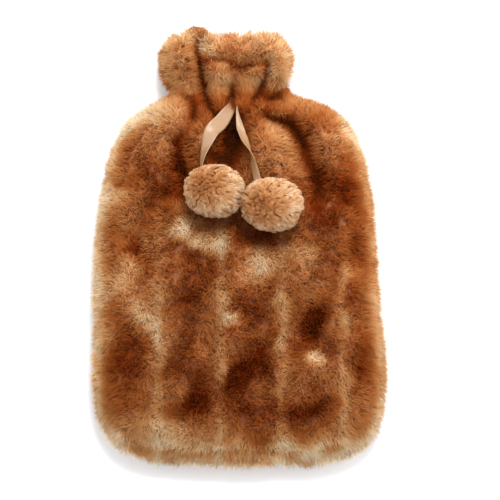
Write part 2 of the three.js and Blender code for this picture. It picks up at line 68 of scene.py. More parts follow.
# Soft lamps, all aimed at the middle of the floor, in metres and watts.
LAMPS = [
    # name, place, size, power
    ("key", (0.2, 0.8, 1.85), (0.6, 0.5), 27),
    ("side", (1.4, 0.3, 1.3), (0.9, 0.7), 6),
    ("top", (0.2, 1.7, 1.15), (0.6, 0.3), 9),
]


def make_camera():
    """A camera at the photo's angle."""
    data = bpy.data.cameras.new("camera")
    data.sensor_width = SENSOR
    data.lens = SENSOR * CAMERA_DISTANCE / VIEW_WIDTH
    data.clip_end = CLIP_END
    camera = bpy.data.objects.new("camera", data)
    back = Vector((0, -math.cos(ELEVATION), math.sin(ELEVATION)))
    camera.location = AIM + back * CAMERA_DISTANCE
    camera.rotation_euler = (math.radians(90) - ELEVATION, 0, 0)
    bpy.context.scene.collection.objects.link(camera)
    bpy.context.scene.camera = camera


def node_material(name):
    """A material of nodes, with one shader that feeds its output."""
    material = bpy.data.materials.new(name)
    material.use_nodes = True
    tree = material.node_tree
    tree.nodes.clear()
    output = tree.nodes.new("ShaderNodeOutputMaterial")
    shader = tree.nodes.new("ShaderNodeBsdfPrincipled")
    tree.links.new(shader.outputs["BSDF"], output.inputs["Surface"])
    return material, tree, shader, output


def make_floor():
    """A plain pale floor, which isn't part of the object."""
    far = FLOOR_REACH
    corners = [(-far, -far, 0), (far, -far, 0), (far, far, 0), (-far, far, 0)]
    mesh = bpy.data.meshes.new("floor")
    mesh.from_pydata(corners, [], [(0, 1, 2, 3)])
    floor = bpy.data.objects.new("floor", mesh)
    material, _, shader, _ = node_material("floor_white")
    shader.inputs["Base Color"].default_value = FLOOR_WHITE
    shader.inputs["Roughness"].default_value = FLOOR_ROUGHNESS
    mesh.materials.append(material)
    bpy.context.scene.collection.objects.link(floor)


def make_lamp(name, place, size, power):
    """A rectangular soft lamp."""
    data = bpy.data.lights.new(name, "AREA")
    data.shape = "RECTANGLE"
    data.size, data.size_y = size
    data.energy = power
    light = bpy.data.objects.new(name, data)
    light.location = place
    aim = -Vector(place)
    light.rotation_euler = aim.to_track_quat("-Z", "Y").to_euler()
    bpy.context.scene.collection.objects.link(light)


def make_lights():
    """Even white light from all round, with three lamps."""
    world = bpy.data.worlds.new("studio")
    world.use_nodes = True
    background = world.node_tree.nodes["Background"]
    background.inputs["Color"].default_value = STUDIO_WHITE
    background.inputs["Strength"].default_value = STUDIO_STRENGTH
    bpy.context.scene.world = world
    for lamp in LAMPS:
        make_lamp(*lamp)
    bpy.context.scene.view_settings.view_transform = "Standard"


make_camera()
make_floor()
make_lights()

# ---------------------------------------------------------------------------------------------
# Small tools: repeatable noise, arrays from meshes and meshes from arrays
# ---------------------------------------------------------------------------------------------
# Large odd numbers that scatter neighbouring cells far apart.
AXIS_MIXERS = (73856093, 19349663, 83492791)
SEED_MIXER = 2654435761
STIR_MIXER = 1274126177
LOW_BITS = 0xFFFFFF
TINY = 1e-12


def lattice(cells, seed):
    """A number from 0 to 1 for each whole-numbered cell, the same in every run."""
    mixed = seed * SEED_MIXER
    for axis, mixer in enumerate(AXIS_MIXERS):
        mixed = mixed ^ (cells[:, axis] * mixer)
    mixed = (mixed ^ (mixed >> 13)) * STIR_MIXER
    return ((mixed ^ (mixed >> 16)) & LOW_BITS) / LOW_BITS


def noise(points, scale, seed):
    """Smooth value noise from 0 to 1, with lumps of about this scale in metres."""
    place = points / scale
    low = np.floor(place).astype(np.int64)
    part = place - low
    part = part * part * (3 - 2 * part)
    total = np.zeros(len(points))
    for corner in range(8):
        step = np.array([corner & 1, corner >> 1 & 1, corner >> 2 & 1])
        weight = np.prod(np.where(step, part, 1 - part), axis=1)
        total += weight * lattice(low + step, seed)
    return total


def vector_noise(points, scale, seed):
    """Smooth noise from -0.5 to 0.5 in each of three directions."""
    return np.stack([noise(points, scale, seed + axis) - 0.5 for axis in range(3)], axis=1)


def unit(vectors):
    """Vectors of the same directions and of length 1."""
    return vectors / np.maximum(np.linalg.norm(vectors, axis=-1, keepdims=True), TINY)


def turned(vectors, axes, angles):
    """Vectors turned about axes that are square to them."""
    cos, sin = np.cos(angles)[:, None], np.sin(angles)[:, None]
    return vectors * cos + np.cross(axes, vectors) * sin


def smoothstep(values, low, high):
    """A soft step from 0 at the low end to 1 at the high end."""
    share = np.clip((values - low) / (high - low), 0, 1)
    return share * share * (3 - 2 * share)


def distances_along(points):
    """How far along a line each of its points is."""
    steps = np.linalg.norm(np.diff(points, axis=0), axis=1)
    return np.concatenate([[0], np.cumsum(steps)])


def mesh_arrays(mesh):
    """The points and the triangles of a mesh."""
    mesh.calc_loop_triangles()
    points = np.empty(len(mesh.vertices) * 3)
    mesh.vertices.foreach_get("co", points)
    triangles = np.empty(len(mesh.loop_triangles) * 3, dtype=np.int32)
    mesh.loop_triangles.foreach_get("vertices", triangles)
    return points.reshape(-1, 3), triangles.reshape(-1, 3)


def probe_of(points, triangles):
    """A surface that rays can be cast at."""
    return BVHTree.FromPolygons([tuple(p) for p in points], [tuple(map(int, t)) for t in triangles])


def edges_of(triangles):
    """The three edges of every triangle, as pairs of points."""
    return np.concatenate([triangles[:, [0, 1]], triangles[:, [1, 2]], triangles[:, [2, 0]]])


def face_normals(points, triangles):
    """The way each triangle faces, as a vector of twice its area."""
    corners = points[triangles]
    return np.cross(corners[:, 1] - corners[:, 0], corners[:, 2] - corners[:, 0])


def smooth_normals(points, triangles):
    """The way the surface faces at each point: the mean of its triangles, by area."""
    face = face_normals(points, triangles)
    total = np.zeros_like(points)
    for corner in range(3):
        np.add.at(total, triangles[:, corner], face)
    return unit(total)


def mesh_object(name, points, triangles, material, attributes):
    """A smooth mesh of triangles, with a named number for each point as its attributes."""
    mesh = bpy.data.meshes.new(name)
    mesh.vertices.add(len(points))
    mesh.vertices.foreach_set("co", points.reshape(-1))
    mesh.loops.add(len(triangles) * 3)
    mesh.loops.foreach_set("vertex_index", triangles.reshape(-1).astype(np.int32))
    mesh.polygons.add(len(triangles))
    mesh.polygons.foreach_set("loop_start", np.arange(0, len(triangles) * 3, 3, dtype=np.int32))
    mesh.update(calc_edges=True)
    mesh.polygons.foreach_set("use_smooth", np.ones(len(triangles), dtype=bool))
    for label, values in attributes:
        layer = mesh.attributes.new(label, "FLOAT", "POINT")
        layer.data.foreach_set("value", values.astype(np.float32))
    mesh.materials.append(material)
    made = bpy.data.objects.new(name, mesh)
    bpy.context.scene.collection.objects.link(made)
    return made


def face_outward(made, ways):
    """Stores the way that the pile faces at each point, which its material lights it by."""
    outward = made.data.attributes.new("outward", "FLOAT_VECTOR", "POINT")
    outward.data.foreach_set("vector", ways.reshape(-1).astype(np.float32))


# ---------------------------------------------------------------------------------------------
# Materials
# ---------------------------------------------------------------------------------------------
# Sockets of a Mix node that mixes colours.
MIX_FIRST = 6
MIX_SECOND = 7
MIX_RESULT = 2
DRY_IOR = 1.05
PILE_ROUGHNESS = 0.9


def read_attribute(tree, name):
    """The number that a mesh stores at each point under this name."""
    node = tree.nodes.new("ShaderNodeAttribute")
    node.attribute_name = name
    return node.outputs["Fac"]


def colour_ramp(tree, source, stops):
    """A colour that runs through these stops, each a place from 0 to 1 and a linear colour."""
    ramp = tree.nodes.new("ShaderNodeValToRGB")
    elements = ramp.color_ramp.elements
    for element, (place, colour) in zip(elements, (stops[0], stops[-1])):
        element.position = place
        element.color = (*colour, 1)
    for place, colour in stops[1:-1]:
        elements.new(place).color = (*colour, 1)
    tree.links.new(source, ramp.inputs["Fac"])
    return ramp.outputs["Color"]


def multiplied(tree, first, second):
    """The product of two colours."""
    mix = tree.nodes.new("ShaderNodeMix")
    mix.data_type = "RGBA"
    mix.blend_type = "MULTIPLY"
    mix.inputs["Factor"].default_value = 1
    tree.links.new(first, mix.inputs[MIX_FIRST])
    tree.links.new(second, mix.inputs[MIX_SECOND])
    return mix.outputs[MIX_RESULT]


def make_dry(shader, roughness):
    """Fibre that scatters light and has no shine."""
    shader.inputs["Roughness"].default_value = roughness
    shader.inputs["Specular IOR Level"].default_value = 0
    shader.inputs["IOR"].default_value = DRY_IOR


def add_bump(tree, shader, height, strength, depth):
    """Fine relief from a pattern of heights."""
    bump = tree.nodes.new("ShaderNodeBump")
    bump.inputs["Strength"].default_value = strength
    bump.inputs["Distance"].default_value = depth
    tree.links.new(height, bump.inputs["Height"])
    tree.links.new(bump.outputs["Normal"], shader.inputs["Normal"])


def fur_material(name, shades, roots, through):
    """Pile coloured by its shade and darker at its root. Light that comes through a blade lights it
    as well, and through is that light's share."""
    material, tree, shader, output = node_material(name)
    outward = tree.nodes.new("ShaderNodeAttribute")
    outward.attribute_name = "outward"
    tree.links.new(outward.outputs["Vector"], shader.inputs["Normal"])
    colour = colour_ramp(tree, read_attribute(tree, "shade"), shades)
    colour = multiplied(tree, colour, colour_ramp(tree, read_attribute(tree, "along"), roots))
    tree.links.new(colour, shader.inputs["Base Color"])
    make_dry(shader, PILE_ROUGHNESS)
    inward = tree.nodes.new("ShaderNodeVectorMath")
    inward.operation = "SCALE"
    inward.inputs["Scale"].default_value = -1
    tree.links.new(outward.outputs["Vector"], inward.inputs[0])
    glow = tree.nodes.new("ShaderNodeBsdfTranslucent")
    tree.links.new(colour, glow.inputs["Color"])
    tree.links.new(inward.outputs["Vector"], glow.inputs["Normal"])
    mix = tree.nodes.new("ShaderNodeMixShader")
    mix.inputs["Fac"].default_value = through
    tree.links.new(shader.outputs["BSDF"], mix.inputs[1])
    tree.links.new(glow.outputs["BSDF"], mix.inputs[2])
    tree.links.new(mix.outputs["Shader"], output.inputs["Surface"])
    return material


# Colours from dark to light, and what multiplies them from root to tip: a place and its colour. The
# darkest serve painted shade in creases, hollows and dark patches, and the palest serve painted sheen and
# the rim's painted light.
FUR_SHADES = (
    (0.0, (0.09, 0.022, 0.005)),
    (0.25, (0.265, 0.044, 0.006)),
    (0.475, (0.465, 0.139, 0.031)),
    (0.66, (0.665, 0.308, 0.108)),
    (0.85, (0.84, 0.54, 0.275)),
    (1.0, (0.97, 0.79, 0.55)),
)
FUR_ALONG = ((0.0, (0.92, 0.88, 0.85)), (0.55, (0.98, 0.97, 0.96)), (1.0, (1.0, 1.0, 1.0)))
POMPOM_SHADES = (
    (0.0, (0.42, 0.15, 0.045)),
    (0.5, (0.71, 0.37, 0.165)),
    (1.0, (0.98, 0.79, 0.55)),
)
POMPOM_ALONG = ((0.0, (0.78, 0.69, 0.6)), (0.6, (0.92, 0.9, 0.88)), (1.0, (1.0, 1.0, 1.0)))
FUR_THROUGH = 0.6
POMPOM_THROUGH = 0.45

fur = fur_material("fur", FUR_SHADES, FUR_ALONG, FUR_THROUGH)
yarn = fur_material("pompom_yarn", POMPOM_SHADES, POMPOM_ALONG, POMPOM_THROUGH)

BACKING_SHADES = ((0.0, (0.05, 0.010, 0.002)), (0.25, (0.22, 0.035, 0.005)), (1.0, (0.85, 0.52, 0.26)))
BACKING_ROUGHNESS = 0.95
KNIT_SCALE = 900
KNIT_STRENGTH = 0.4
KNIT_DEPTH = 0.4 * MM


def backing_material(name, shades):
    """The knitted backing of the pile, as dark or light as the pile on it, its painted sheen and painted
    shade included.
    """
    material, tree, shader, _ = node_material(name)
    colour = colour_ramp(tree, read_attribute(tree, "shade"), shades)
    tree.links.new(colour, shader.inputs["Base Color"])
    make_dry(shader, BACKING_ROUGHNESS)
    knit = tree.nodes.new("ShaderNodeTexNoise")
    knit.inputs["Scale"].default_value = KNIT_SCALE
    add_bump(tree, shader, knit.outputs["Fac"], KNIT_STRENGTH, KNIT_DEPTH)
    return material


backing = backing_material("fur_backing", BACKING_SHADES)

SATIN_SHADES = ((0.3, (0.29, 0.155, 0.070)), (0.7, (0.39, 0.225, 0.11)))
SATIN_ROUGHNESS = 0.36
SATIN_SHINE = 1.0
# How fine the threads are across and along the ribbon, for each metre, and what relief they have.
THREADS = (4200, 260, 1)
THREAD_DETAIL = 2
THREAD_STRENGTH = 0.15
THREAD_DEPTH = 0.05 * MM


def satin_material():
    """Woven satin: long bright threads along the ribbon."""
    material, tree, shader, _ = node_material("ribbon_satin")
    thread = tree.nodes.new("ShaderNodeTexNoise")
    thread.noise_dimensions = "2D"
    place = tree.nodes.new("ShaderNodeCombineXYZ")
    tree.links.new(read_attribute(tree, "across"), place.inputs["X"])
    tree.links.new(read_attribute(tree, "along"), place.inputs["Y"])
    stretch = tree.nodes.new("ShaderNodeVectorMath")
    stretch.operation = "MULTIPLY"
    stretch.inputs[1].default_value = THREADS
    tree.links.new(place.outputs["Vector"], stretch.inputs[0])
    tree.links.new(stretch.outputs["Vector"], thread.inputs["Vector"])
    thread.inputs["Scale"].default_value = 1
    thread.inputs["Detail"].default_value = THREAD_DETAIL
    colour = colour_ramp(tree, thread.outputs["Fac"], SATIN_SHADES)
    tree.links.new(colour, shader.inputs["Base Color"])
    shader.inputs["Roughness"].default_value = SATIN_ROUGHNESS
    shader.inputs["Specular IOR Level"].default_value = SATIN_SHINE
    add_bump(tree, shader, thread.outputs["Fac"], THREAD_STRENGTH, THREAD_DEPTH)
    return material


satin = satin_material()

# ---------------------------------------------------------------------------------------------
# The cloth of a panel: its solid's outer side, smoothed, creased and moved in by the depth of the pile
# ---------------------------------------------------------------------------------------------
BODY_INSET = 8.0 * MM
NECK_INSET = 6.8 * MM
NECK_START = 95 * MM
NECK_END = 120 * MM
CLOTH_THICKNESS = 1.5 * MM
WELD = 0.01 * MM
SMOOTHING = 1
# A face of the solid is outer if it faces the panel's own side by this much, and a steep face is
# outer if nothing is in front of it.
OUTER_LEVEL = 0.05
PROBE_GAP = 0.5 * MM
# The painted shade of a crease reaches this much wider than its trough.
PAINTED_SHADE_REACH = 1.25

# The main creases, sharper and deeper than the solids have them, and last the groove of the bottom
# seam, in millimetres and as seen from above. Each darkens the pile near it with painted shade.
CREASES = [
    # x1, y1, x2, y2, half width, depth, how dark its painted shade is
    (-36, 176, -34, 160, 2.6, 4, 0.15),
    (-34, 160, -29, 142, 3.6, 8, 1.4),
    (-29, 142, -25, 120, 3.6, 8, 1.2),
    (-25, 120, -18, 104, 4.5, 6, 0.65),
    (-7, 136, -6, 120, 4.0, 6, 0.8),
    (24, 146, 17, 128, 3.8, 6, 0.8),
    (17, 128, 10, 118, 4.5, 5, 0.6),
    (34, 126, 24, 120, 4.0, 5, 0.6),
    (-24, 157, 4, 151, 3.0, 4, 0.4),
    (4, 151, 26, 156, 3.0, 4, 0.4),
    (22, 108, 42, 102, 5.0, 5, 0.35),
    (42, 102, 54, 82, 6.5, 6, 0.4),
    (54, 82, 64, 44, 8.0, 4, 0),
    (-5, 106, -5, 84, 11.0, 5, 0.65),
    (-22, 72, -8, 70, 8.0, 4, 0.4),
    (-44, 124, -38, 106, 5.0, 4, 0.4),
    (-50, 88, -44, 40, 7.0, 3, 0.15),
    (-88, -162, -54, -167, 1.2, 1.5, 0.26),
    (-54, -167, -14, -168, 1.1, 1.5, 0.3),
    (-14, -168, 14, -166.5, 1.0, 1.5, 0.22),
    (14, -166.5, 42, -168.5, 1.2, 1.5, 0.34),
    (42, -168.5, 84, -162, 1.1, 1.5, 0.26),
]


def run_distance(points, ends):
    """How far each point is, seen from above, from the straight run between two ends."""
    start = np.array(ends[:2]) * MM
    run = np.array(ends[2:]) * MM - start
    share = np.clip(((points[:, :2] - start) @ run) / (run @ run), 0, 1)
    return np.linalg.norm(points[:, :2] - start - share[:, None] * run, axis=1)


def crease_depth(points):
    """How deep the creases press the cloth in at each point."""
    depth = np.zeros(len(points))
    for *ends, half_width, deep, _ in CREASES:
        off = run_distance(points, ends) / (half_width * MM)
        depth = np.maximum(depth, deep * MM * np.exp(-off * off))
    return depth


def crease_painted_shade(points):
    """How much painted shade darkens the pile at each point, for the creases near it."""
    dark = np.zeros(len(points))
    for *ends, half_width, _, how_dark in CREASES:
        off = run_distance(points, ends) / (half_width * PAINTED_SHADE_REACH * MM)
        dark = np.maximum(dark, how_dark * np.exp(-off * off))
    return dark


def welded(points, triangles):
    """A mesh whose points are shared by the triangles that meet there."""
    keys = np.round(points / WELD).astype(np.int64)
    _, first, where = np.unique(keys, axis=0, return_index=True, return_inverse=True)
    where = where.reshape(-1)
    faces = where[triangles]
    whole = (faces[:, 0] != faces[:, 1]) & (faces[:, 1] != faces[:, 2]) & (faces[:, 0] != faces[:, 2])
    return points[first], faces[whole]


def outer_side(node, up):
    """The outer faces of a panel's solid, without its inner faces and its seam."""
    points, triangles = welded(*mesh_arrays(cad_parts[node].data))
    normal = unit(face_normals(points, triangles))
    centre = points[triangles].mean(axis=1)
    probe = probe_of(points, triangles)
    facing = normal[:, 2] * up
    keep = facing > OUTER_LEVEL
    for i in np.flatnonzero(np.abs(facing) <= OUTER_LEVEL):
        start = Vector(centre[i] + normal[i] * PROBE_GAP)
        hit = probe.ray_cast(start, Vector((normal[i, 0], normal[i, 1], 0)))
        keep[i] = hit[0] is None
    used = np.unique(triangles[keep])
    place = np.full(len(points), -1)
    place[used] = np.arange(len(used))
    return points[used], place[triangles[keep]]


def refined(points, faces):
    """A smoothed and subdivided copy of a mesh, as arrays."""
    mesh = bpy.data.meshes.new("rough")
    mesh.from_pydata([tuple(p) for p in points], [], [tuple(map(int, f)) for f in faces])
    rough = bpy.data.objects.new("rough", mesh)
    bpy.context.scene.collection.objects.link(rough)
    steps = rough.modifiers.new("smooth", "SUBSURF")
    steps.levels = SMOOTHING
    steps.boundary_smooth = "ALL"
    done = rough.evaluated_get(bpy.context.evaluated_depsgraph_get())
    arrays = mesh_arrays(done.to_mesh())
    done.to_mesh_clear()
    bpy.data.objects.remove(rough)
    return arrays


def seam_distance(points, triangles):
    """How far each point is, seen from above, from the open edge of its cloth."""
    pairs, uses = np.unique(np.sort(edges_of(triangles), axis=1), axis=0, return_counts=True)
    rim = np.unique(pairs[uses == 1])
    tree = KDTree(len(rim))
    for i in rim:
        tree.insert((points[i, 0], points[i, 1], 0), int(i))
    tree.balance()
    return np.array([tree.find((x, y, 0))[2] for x, y, _ in points])


def cavity(points, triangles):
    """How deep each point lies in a hollow: its height under its smoothed surroundings."""
    edges = edges_of(triangles)
    count = np.bincount(edges.reshape(-1), minlength=len(points))
    level = points[:, 2].copy()
    for _ in range(CAVITY_STEPS):
        total = np.bincount(edges[:, 0], level[edges[:, 1]], len(points))
        total += np.bincount(edges[:, 1], level[edges[:, 0]], len(points))
        level = total / count
    return np.clip((level - points[:, 2]) / CAVITY_DEPTH, 0, 1)


def rim_painted_light(points, triangles):
    """Painted light at the edge: how much paler the pile is painted towards the seam, most of all in the
    fringe beside it.
    """
    away = seam_distance(points, triangles)
    paler = RIM_PAINTED_LIGHT * (1 - smoothstep(away, 0, RIM_WIDTH))
    paler += FRINGE_PAINTED_LIGHT * (1 - smoothstep(away, 0, FRINGE_WIDTH))
    return paler * (1 + (COLLAR_RIM - 1) * smoothstep(points[:, 1], NECK_START, NECK_END))


def pile_inset(points):
    """How far the cloth lies inside its solid's surface, which is a little less on the neck."""
    share = smoothstep(points[:, 1], NECK_START, NECK_END)
    return BODY_INSET + (NECK_INSET - BODY_INSET) * share


# ---------------------------------------------------------------------------------------------
# The colours of the fur: bands of painted sheen along the body, patches of painted sheen and painted
# shade, the painted light of the pale edge and painted shade in creases
# ---------------------------------------------------------------------------------------------
# A shade runs from 0 for dark fur to 1 for the palest. These are shades, and where they reach.
# Light bands along the body are painted sheen: their pitch, first place, count, half width, where they
# fade out and how much paler.
BAND_PITCH = 49.9 * MM
BAND_FIRST = -65.2 * MM
BAND_COUNT = 4
BAND_HALF_WIDTH = 5 * MM
BAND_TOP = 30 * MM
BAND_FADE = 18 * MM
BAND_PAINTED_SHEEN = 0.24
MID_SHADE = 0.325
SHOULDER_START = 40 * MM
SHOULDER_END = 125 * MM
SHOULDER_SHADE = 0.1
# The collar is painted paler with painted sheen, from COLLAR_START to COLLAR_END.
COLLAR_START = 118 * MM
COLLAR_END = 140 * MM
COLLAR_PAINTED_SHEEN = 0.09
# Patches of painted sheen and painted shade: their overall amount, how sharply they end, and the gains of
# the light and the dark ones.
PATCH_PAINTED_LIGHT = 0.5
PATCH_EDGE = 1.2
LIGHT_GAIN = 1.3
DARK_GAIN = 0.85
# The painted shade of deep creases runs down to this, below the dark fur's 0.
DEEPEST = -0.33
# Painted shade in hollows: smoothing steps, the depth that gets all of it, and its amount.
CAVITY_STEPS = 40
CAVITY_DEPTH = 6 * MM
HOLLOW_PAINTED_SHADE = 0.45
# Painted light at the edge: widths and amounts towards the seam and in the fringe, and the share of it
# kept on the collar.
RIM_WIDTH = 16 * MM
RIM_PAINTED_LIGHT = 0.26
FRINGE_WIDTH = 8 * MM
FRINGE_PAINTED_LIGHT = 0.5
COLLAR_RIM = 0.25

# The patches' edges wander: lumps in millimetres, seed, and how far in millimetres.
PATCH_WANDER = (18, 71, 14)

# Mottling over all the fur.
MOTTLES = [
    # lumps in millimetres, seed, shade
    (15, 5, 0.22),
    (5.5, 9, 0.16),
]

# Patches of painted shade (below 0) and painted sheen, which make the pile darker or lighter, in
# millimetres and as seen from above. The dark ones beside and under the pompoms are painted shadows.
PAINTED_LIGHT_PATCHES = [
    # x, y, half width, half length, turn in degrees, amount
    (-86, -6, 9, 8, 0, -0.8),
    (-92, -98, 16, 36, 0, -0.6),
    (-37, -20, 13, 14, 0, -0.5),
    (-42, -56, 13, 26, 0, -0.55),
    (-36, -135, 18, 14, 0, -0.85),
    (-40, -108, 14, 12, 0, -0.45),
    (-4, -116, 10, 16, 0, -0.7),
    (14, -100, 14, 22, -20, -0.85),
    (14, -54, 14, 16, 0, -0.5),
    (58, -66, 9, 23, -35, -0.95),
    (56, -138, 20, 11, 10, -0.85),
    (14, -142, 24, 12, 0, -0.65),
    (92, -50, 7, 11, 0, -0.5),
    (95, -104, 8, 22, 0, -0.55),
    (86, 42, 10, 18, 20, -0.7),
    (62, 26, 10, 14, 0, -0.6),
    (-66, 40, 9, 24, 0, -0.6),
    (-52, 66, 11, 16, 0, -0.55),
    (20, 2, 26, 6, 0, -0.45),
    (-88, 62, 18, 22, 0, -0.12),
    (88, 20, 20, 60, 0, -0.5),
    (72, 106, 26, 10, -8, -0.35),
    (-47, 9, 9, 8, 0, 1.1),
    (-31, 1, 9, 6, 0, 0.8),
    (-12, -1, 9, 7, 0, 0.6),
    (12, -19, 14, 13, 0, 0.75),
    (52, -10, 14, 12, 0, 0.45),
    (-90, -32, 12, 12, 0, 0.45),
    (-78, -62, 9, 26, 32, 0.6),
    (-7, -63, 6, 6, 0, 1.1),
    (60, -96, 8, 6, 0, 0.9),
    (36, -78, 7, 20, -20, 0.35),
    (-96, 40, 10, 8, 0, 0.35),
    (-72, 102, 32, 11, 12, 0.35),
    (84, 88, 12, 14, 0, 0.3),
    (88, -26, 9, 14, 0, 0.2),
    (-46, -150, 15, 7, 20, 0.3),
    (56, -166, 26, 6, 0, 0.6),
    (-56, -160, 44, 11, -8, 0.38),
    (30, -165, 60, 8, 0, 0.38),
    (-110, -40, 9, 110, 0, 0.22),
    (28, 82, 15, 24, 0, 0.25),
    (-50, 140, 11, 13, 0, -0.1),
    (-28, 171, 7, 6, 0, 0.5),
    (0, 138, 44, 9, 0, 0.2),
    (-12, 72, 7, 8, 0, 0.35),
    (2, 131, 9, 8, 0, -0.35),
    (26, 130, 15, 8, 0, -0.3),
    (104, -60, 12, 70, 0, -0.12),
    (116, -40, 9, 110, 0, -0.2),
]


def patch_painted_light(points):
    """How much painted sheen lightens, or below 0 painted shade darkens, the pile at each point."""
    total = np.zeros(len(points))
    for x, y, half_width, half_length, turn, amount in PAINTED_LIGHT_PATCHES:
        angle = math.radians(turn)
        off_x, off_y = points[:, 0] / MM - x, points[:, 1] / MM - y
        across = off_x * math.cos(angle) + off_y * math.sin(angle)
        along = off_y * math.cos(angle) - off_x * math.sin(angle)
        away = (across / half_width) ** 2 + (along / half_length) ** 2
        total += amount * (LIGHT_GAIN if amount > 0 else DARK_GAIN) * np.exp(-(away ** PATCH_EDGE))
    return total


def ramp_place(shade):
    """Where a shade lies on the colour ramp: the painted shade of deep creases runs down to DEEPEST,
    below the dark fur's 0.
    """
    return np.clip((shade - DEEPEST) / (1 - DEEPEST), 0, 1)


def pile_shade(points, painted_light):
    """How light the pile is at each root: 0 for dark fur, 1 for the palest. Painted sheen in bands,
    patches and on the collar makes it paler, painted shade in patches and creases makes it darker, and
    painted_light adds the rim's painted light and the hollows' painted shade.
    """
    below = 1 / (1 + np.exp((points[:, 1] - BAND_TOP) / BAND_FADE))
    nearest = np.clip(np.round((points[:, 0] - BAND_FIRST) / BAND_PITCH), 0, BAND_COUNT - 1)
    off = points[:, 0] - BAND_FIRST - nearest * BAND_PITCH
    shade = MID_SHADE + BAND_PAINTED_SHEEN * below * np.exp(-((off / BAND_HALF_WIDTH) ** 2))
    lumps, seed, amount = PATCH_WANDER
    shade += PATCH_PAINTED_LIGHT * patch_painted_light(points + amount * MM * vector_noise(points, lumps * MM, seed))
    shade += SHOULDER_SHADE * smoothstep(points[:, 1], SHOULDER_START, SHOULDER_END)
    shade += COLLAR_PAINTED_SHEEN * smoothstep(points[:, 1], COLLAR_START, COLLAR_END) + painted_light
    shade += sum(amount * (noise(points, lumps * MM, seed) - 0.5) for lumps, seed, amount in MOTTLES)
    return shade - crease_painted_shade(points)


# ---------------------------------------------------------------------------------------------
# Pile: curved, pointed blades in small tufts
# ---------------------------------------------------------------------------------------------
FLOOR_GAP = 0.3 * MM
# The pile is denser round the neck, where it is gathered.
NECK_MIDDLE = 128 * MM
NECK_SPAN = 11 * MM
NECK_WEIGHT = 1.2


def scatter(points, triangles, count, side_weight):
    """Random places on a surface, as faces and weights of their corners; steep faces can get more."""
    face = face_normals(points, triangles)
    area = np.linalg.norm(face, axis=1)
    steep = 1 - np.abs(face[:, 2]) / np.maximum(area, TINY)
    middle = points[triangles].mean(axis=1)
    neck = np.exp(-(((middle[:, 1] - NECK_MIDDLE) / NECK_SPAN) ** 2))
    weight = area * (1 + side_weight * steep) * (1 + NECK_WEIGHT * neck)
    chosen = RNG.choice(len(triangles), size=count, p=weight / weight.sum())
    a, b = RNG.random(count), RNG.random(count)
    over = a + b > 1
    a[over], b[over] = 1 - a[over], 1 - b[over]
    return triangles[chosen], np.stack([1 - a - b, a, b], axis=1)


def blended(values, faces, weights):
    """The value of a mesh's points at places inside its faces."""
    return (values[faces] * weights.reshape(*weights.shape, *[1] * (values.ndim - 1))).sum(axis=1)


# A blade has five points: two at its root, two at its middle and its tip. Its triangles join them,
# and the other rows give each point's place along the blade and its share of the contrast.
BLADE_TRIANGLES = ([0, 1, 3], [0, 3, 2], [2, 3, 4])
BLADE_PLACES = [0.0, 0.0, 0.55, 0.55, 1.0]
CONTRAST_STEPS = np.array([-1.0, -1.0, 0.0, 0.0, 1.0])
MIDDLE_WIDTH = 0.9
TWIST = 0.35
# Fur that sticks out sideways is still lit from above, and a little from where its tip points.
SKYWARD = np.array([0, 0, 0.9])
TIPWARD = 0.3


def blades_object(name, material, roots, middles, tips, width, facing, shade, contrast):
    """One mesh of blades, each from its root past its middle to its tip, lit from where it faces
    and from above. Contrast is how much darker its root and lighter its tip are than its shade."""
    count, corners = len(roots), len(BLADE_PLACES)
    side = unit(np.cross(tips - roots, facing + TWIST * RNG.standard_normal((count, 3))))
    across = side * width[:, None] * 0.5
    narrower = across * MIDDLE_WIDTH
    vertices = np.stack(
        [roots - across, roots + across, middles - narrower, middles + narrower, tips], axis=1
    ).reshape(-1, 3)
    vertices[:, 2] = np.maximum(vertices[:, 2], FLOOR_GAP)
    shades = np.clip(shade[:, None] + contrast[:, None] * CONTRAST_STEPS, 0, 1)
    first = np.arange(count)[:, None] * corners
    triangles = np.concatenate([first + triangle for triangle in BLADE_TRIANGLES], axis=1)
    made = mesh_object(
        name,
        vertices,
        triangles.reshape(-1, 3),
        material,
        (("along", np.tile(BLADE_PLACES, count)), ("shade", shades.reshape(-1))),
    )
    soft = np.repeat(unit(facing + TIPWARD * unit(tips - roots) + SKYWARD), corners, axis=0)
    made.data.normals_split_custom_set_from_vertices(soft)
    face_outward(made, soft)
    return made


# The way the pile leans: a nap down the body, a spread out from its middle, a parting at the ribbon
# and swirls.
NAP = np.array([0.0, -0.3, -0.05])
BODY_MIDDLE = np.array([0.0, -10 * MM])
BODY_HALF = (0.14, 0.2)
SPREAD_LEAN = 0.3
TIE_ALONG = 131.3 * MM
TIE_PARTING = np.array([0, 1.6, 0])
PARTING_WIDTH = 4 * MM
PARTING_REACH = 13 * MM
SWIRLS = [
    # lumps in millimetres, seed, amount
    (24, 21, 0.9),
    (8, 31, 1.1),
]

PILE_LENGTH = 10.6 * MM
BLADE_WIDTH = 0.55 * MM
TUFT_RADIUS = 1.7 * MM
TUFT_SIZE = 12
TUFT_SHADE = 0.035
LENGTH_RANGE = (0.78, 1.1)
WIDTH_RANGE = (0.7, 1.25)
LOW_LEAN = 0.45
HIGH_RISE = 0.75
HIGH_LEAN = (0.8, 1.5)
# What changes from dark fur to light fur: its value in the dark, and what the palest fur adds. Light
# fur stands less upright, gathers in its tufts and is wilder. Kinks are in millimetres.
LEAN_BY_SHADE = (0.25, 0.95)
GATHER_BY_SHADE = (0.15, 0.5)
STRAY_BY_SHADE = (0.08, 0.2)
KINK_BY_SHADE = (0.1, 0.9)
SPECKLE_BY_SHADE = (0.01, 0.1)
CONTRAST_BY_SHADE = (0, 0.3)


